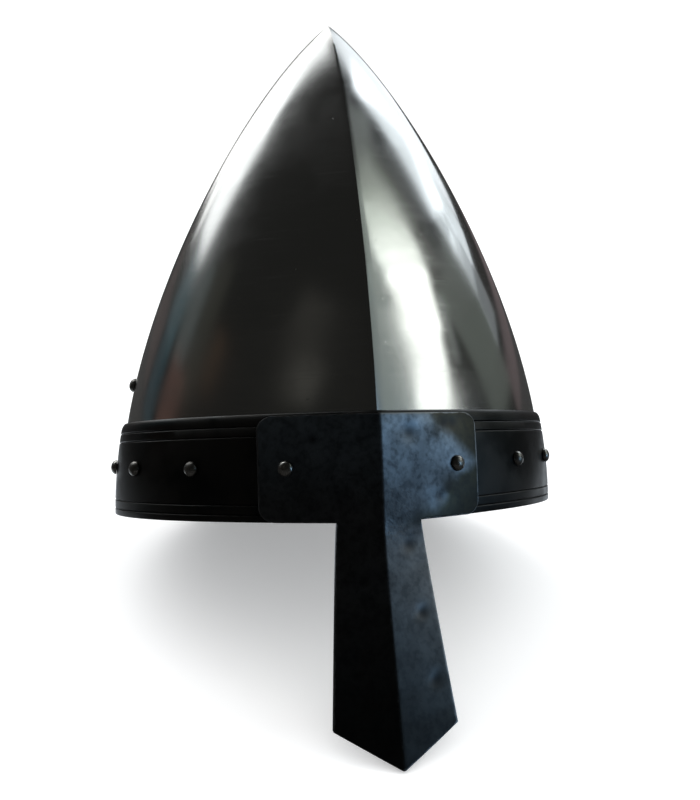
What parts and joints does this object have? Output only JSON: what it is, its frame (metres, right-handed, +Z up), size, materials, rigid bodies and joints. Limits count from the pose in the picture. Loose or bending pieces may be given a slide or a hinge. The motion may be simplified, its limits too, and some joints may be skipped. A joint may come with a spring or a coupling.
{
  "type": "nasal helmet",
  "caption": "Pointed steel helmet with a sharp front ridge, a riveted blackened brow band and a creased nose guard that widens to a pointed end.",
  "frame": {"origin": "under the middle of the whole helmet, on the surface that it rests on, leaning back on the nose guard's tip and the back of the rim", "axes": "+Z up, the helmet's front towards -Y, +X to the right as seen from in front"},
  "size_m": [0.2158, 0.2626, 0.2628],
  "materials": {
    "polished_steel": "mirror-like hand polish with fine scratches",
    "blackened_steel": "oil-blackened, semi-gloss, with engraved double lines",
    "blued_steel": "forge-blued, semi-matt, with small hammer dents",
    "rivet_steel": "dark, glossy round heads"
  },
  "bodies": {
    "root": {"dome": "polished_steel", "brow_band": "blackened_steel", "nasal": "blued_steel", "band_rivet_left_1": "rivet_steel", "band_rivet_right_1": "rivet_steel", "band_rivet_left_2": "rivet_steel", "band_rivet_right_2": "rivet_steel", "band_rivet_left_3": "rivet_steel", "band_rivet_right_3": "rivet_steel", "band_rivet_left_4": "rivet_steel", "band_rivet_right_4": "rivet_steel", "band_rivet_left_5": "rivet_steel", "band_rivet_right_5": "rivet_steel", "band_rivet_left_6": "rivet_steel", "band_rivet_right_6": "rivet_steel", "band_rivet_back": "rivet_steel", "nasal_rivet_left": "rivet_steel", "nasal_rivet_right": "rivet_steel", "dome_rivet_left": "rivet_steel", "dome_rivet_right": "rivet_steel"}
  },
  "joints": []
}
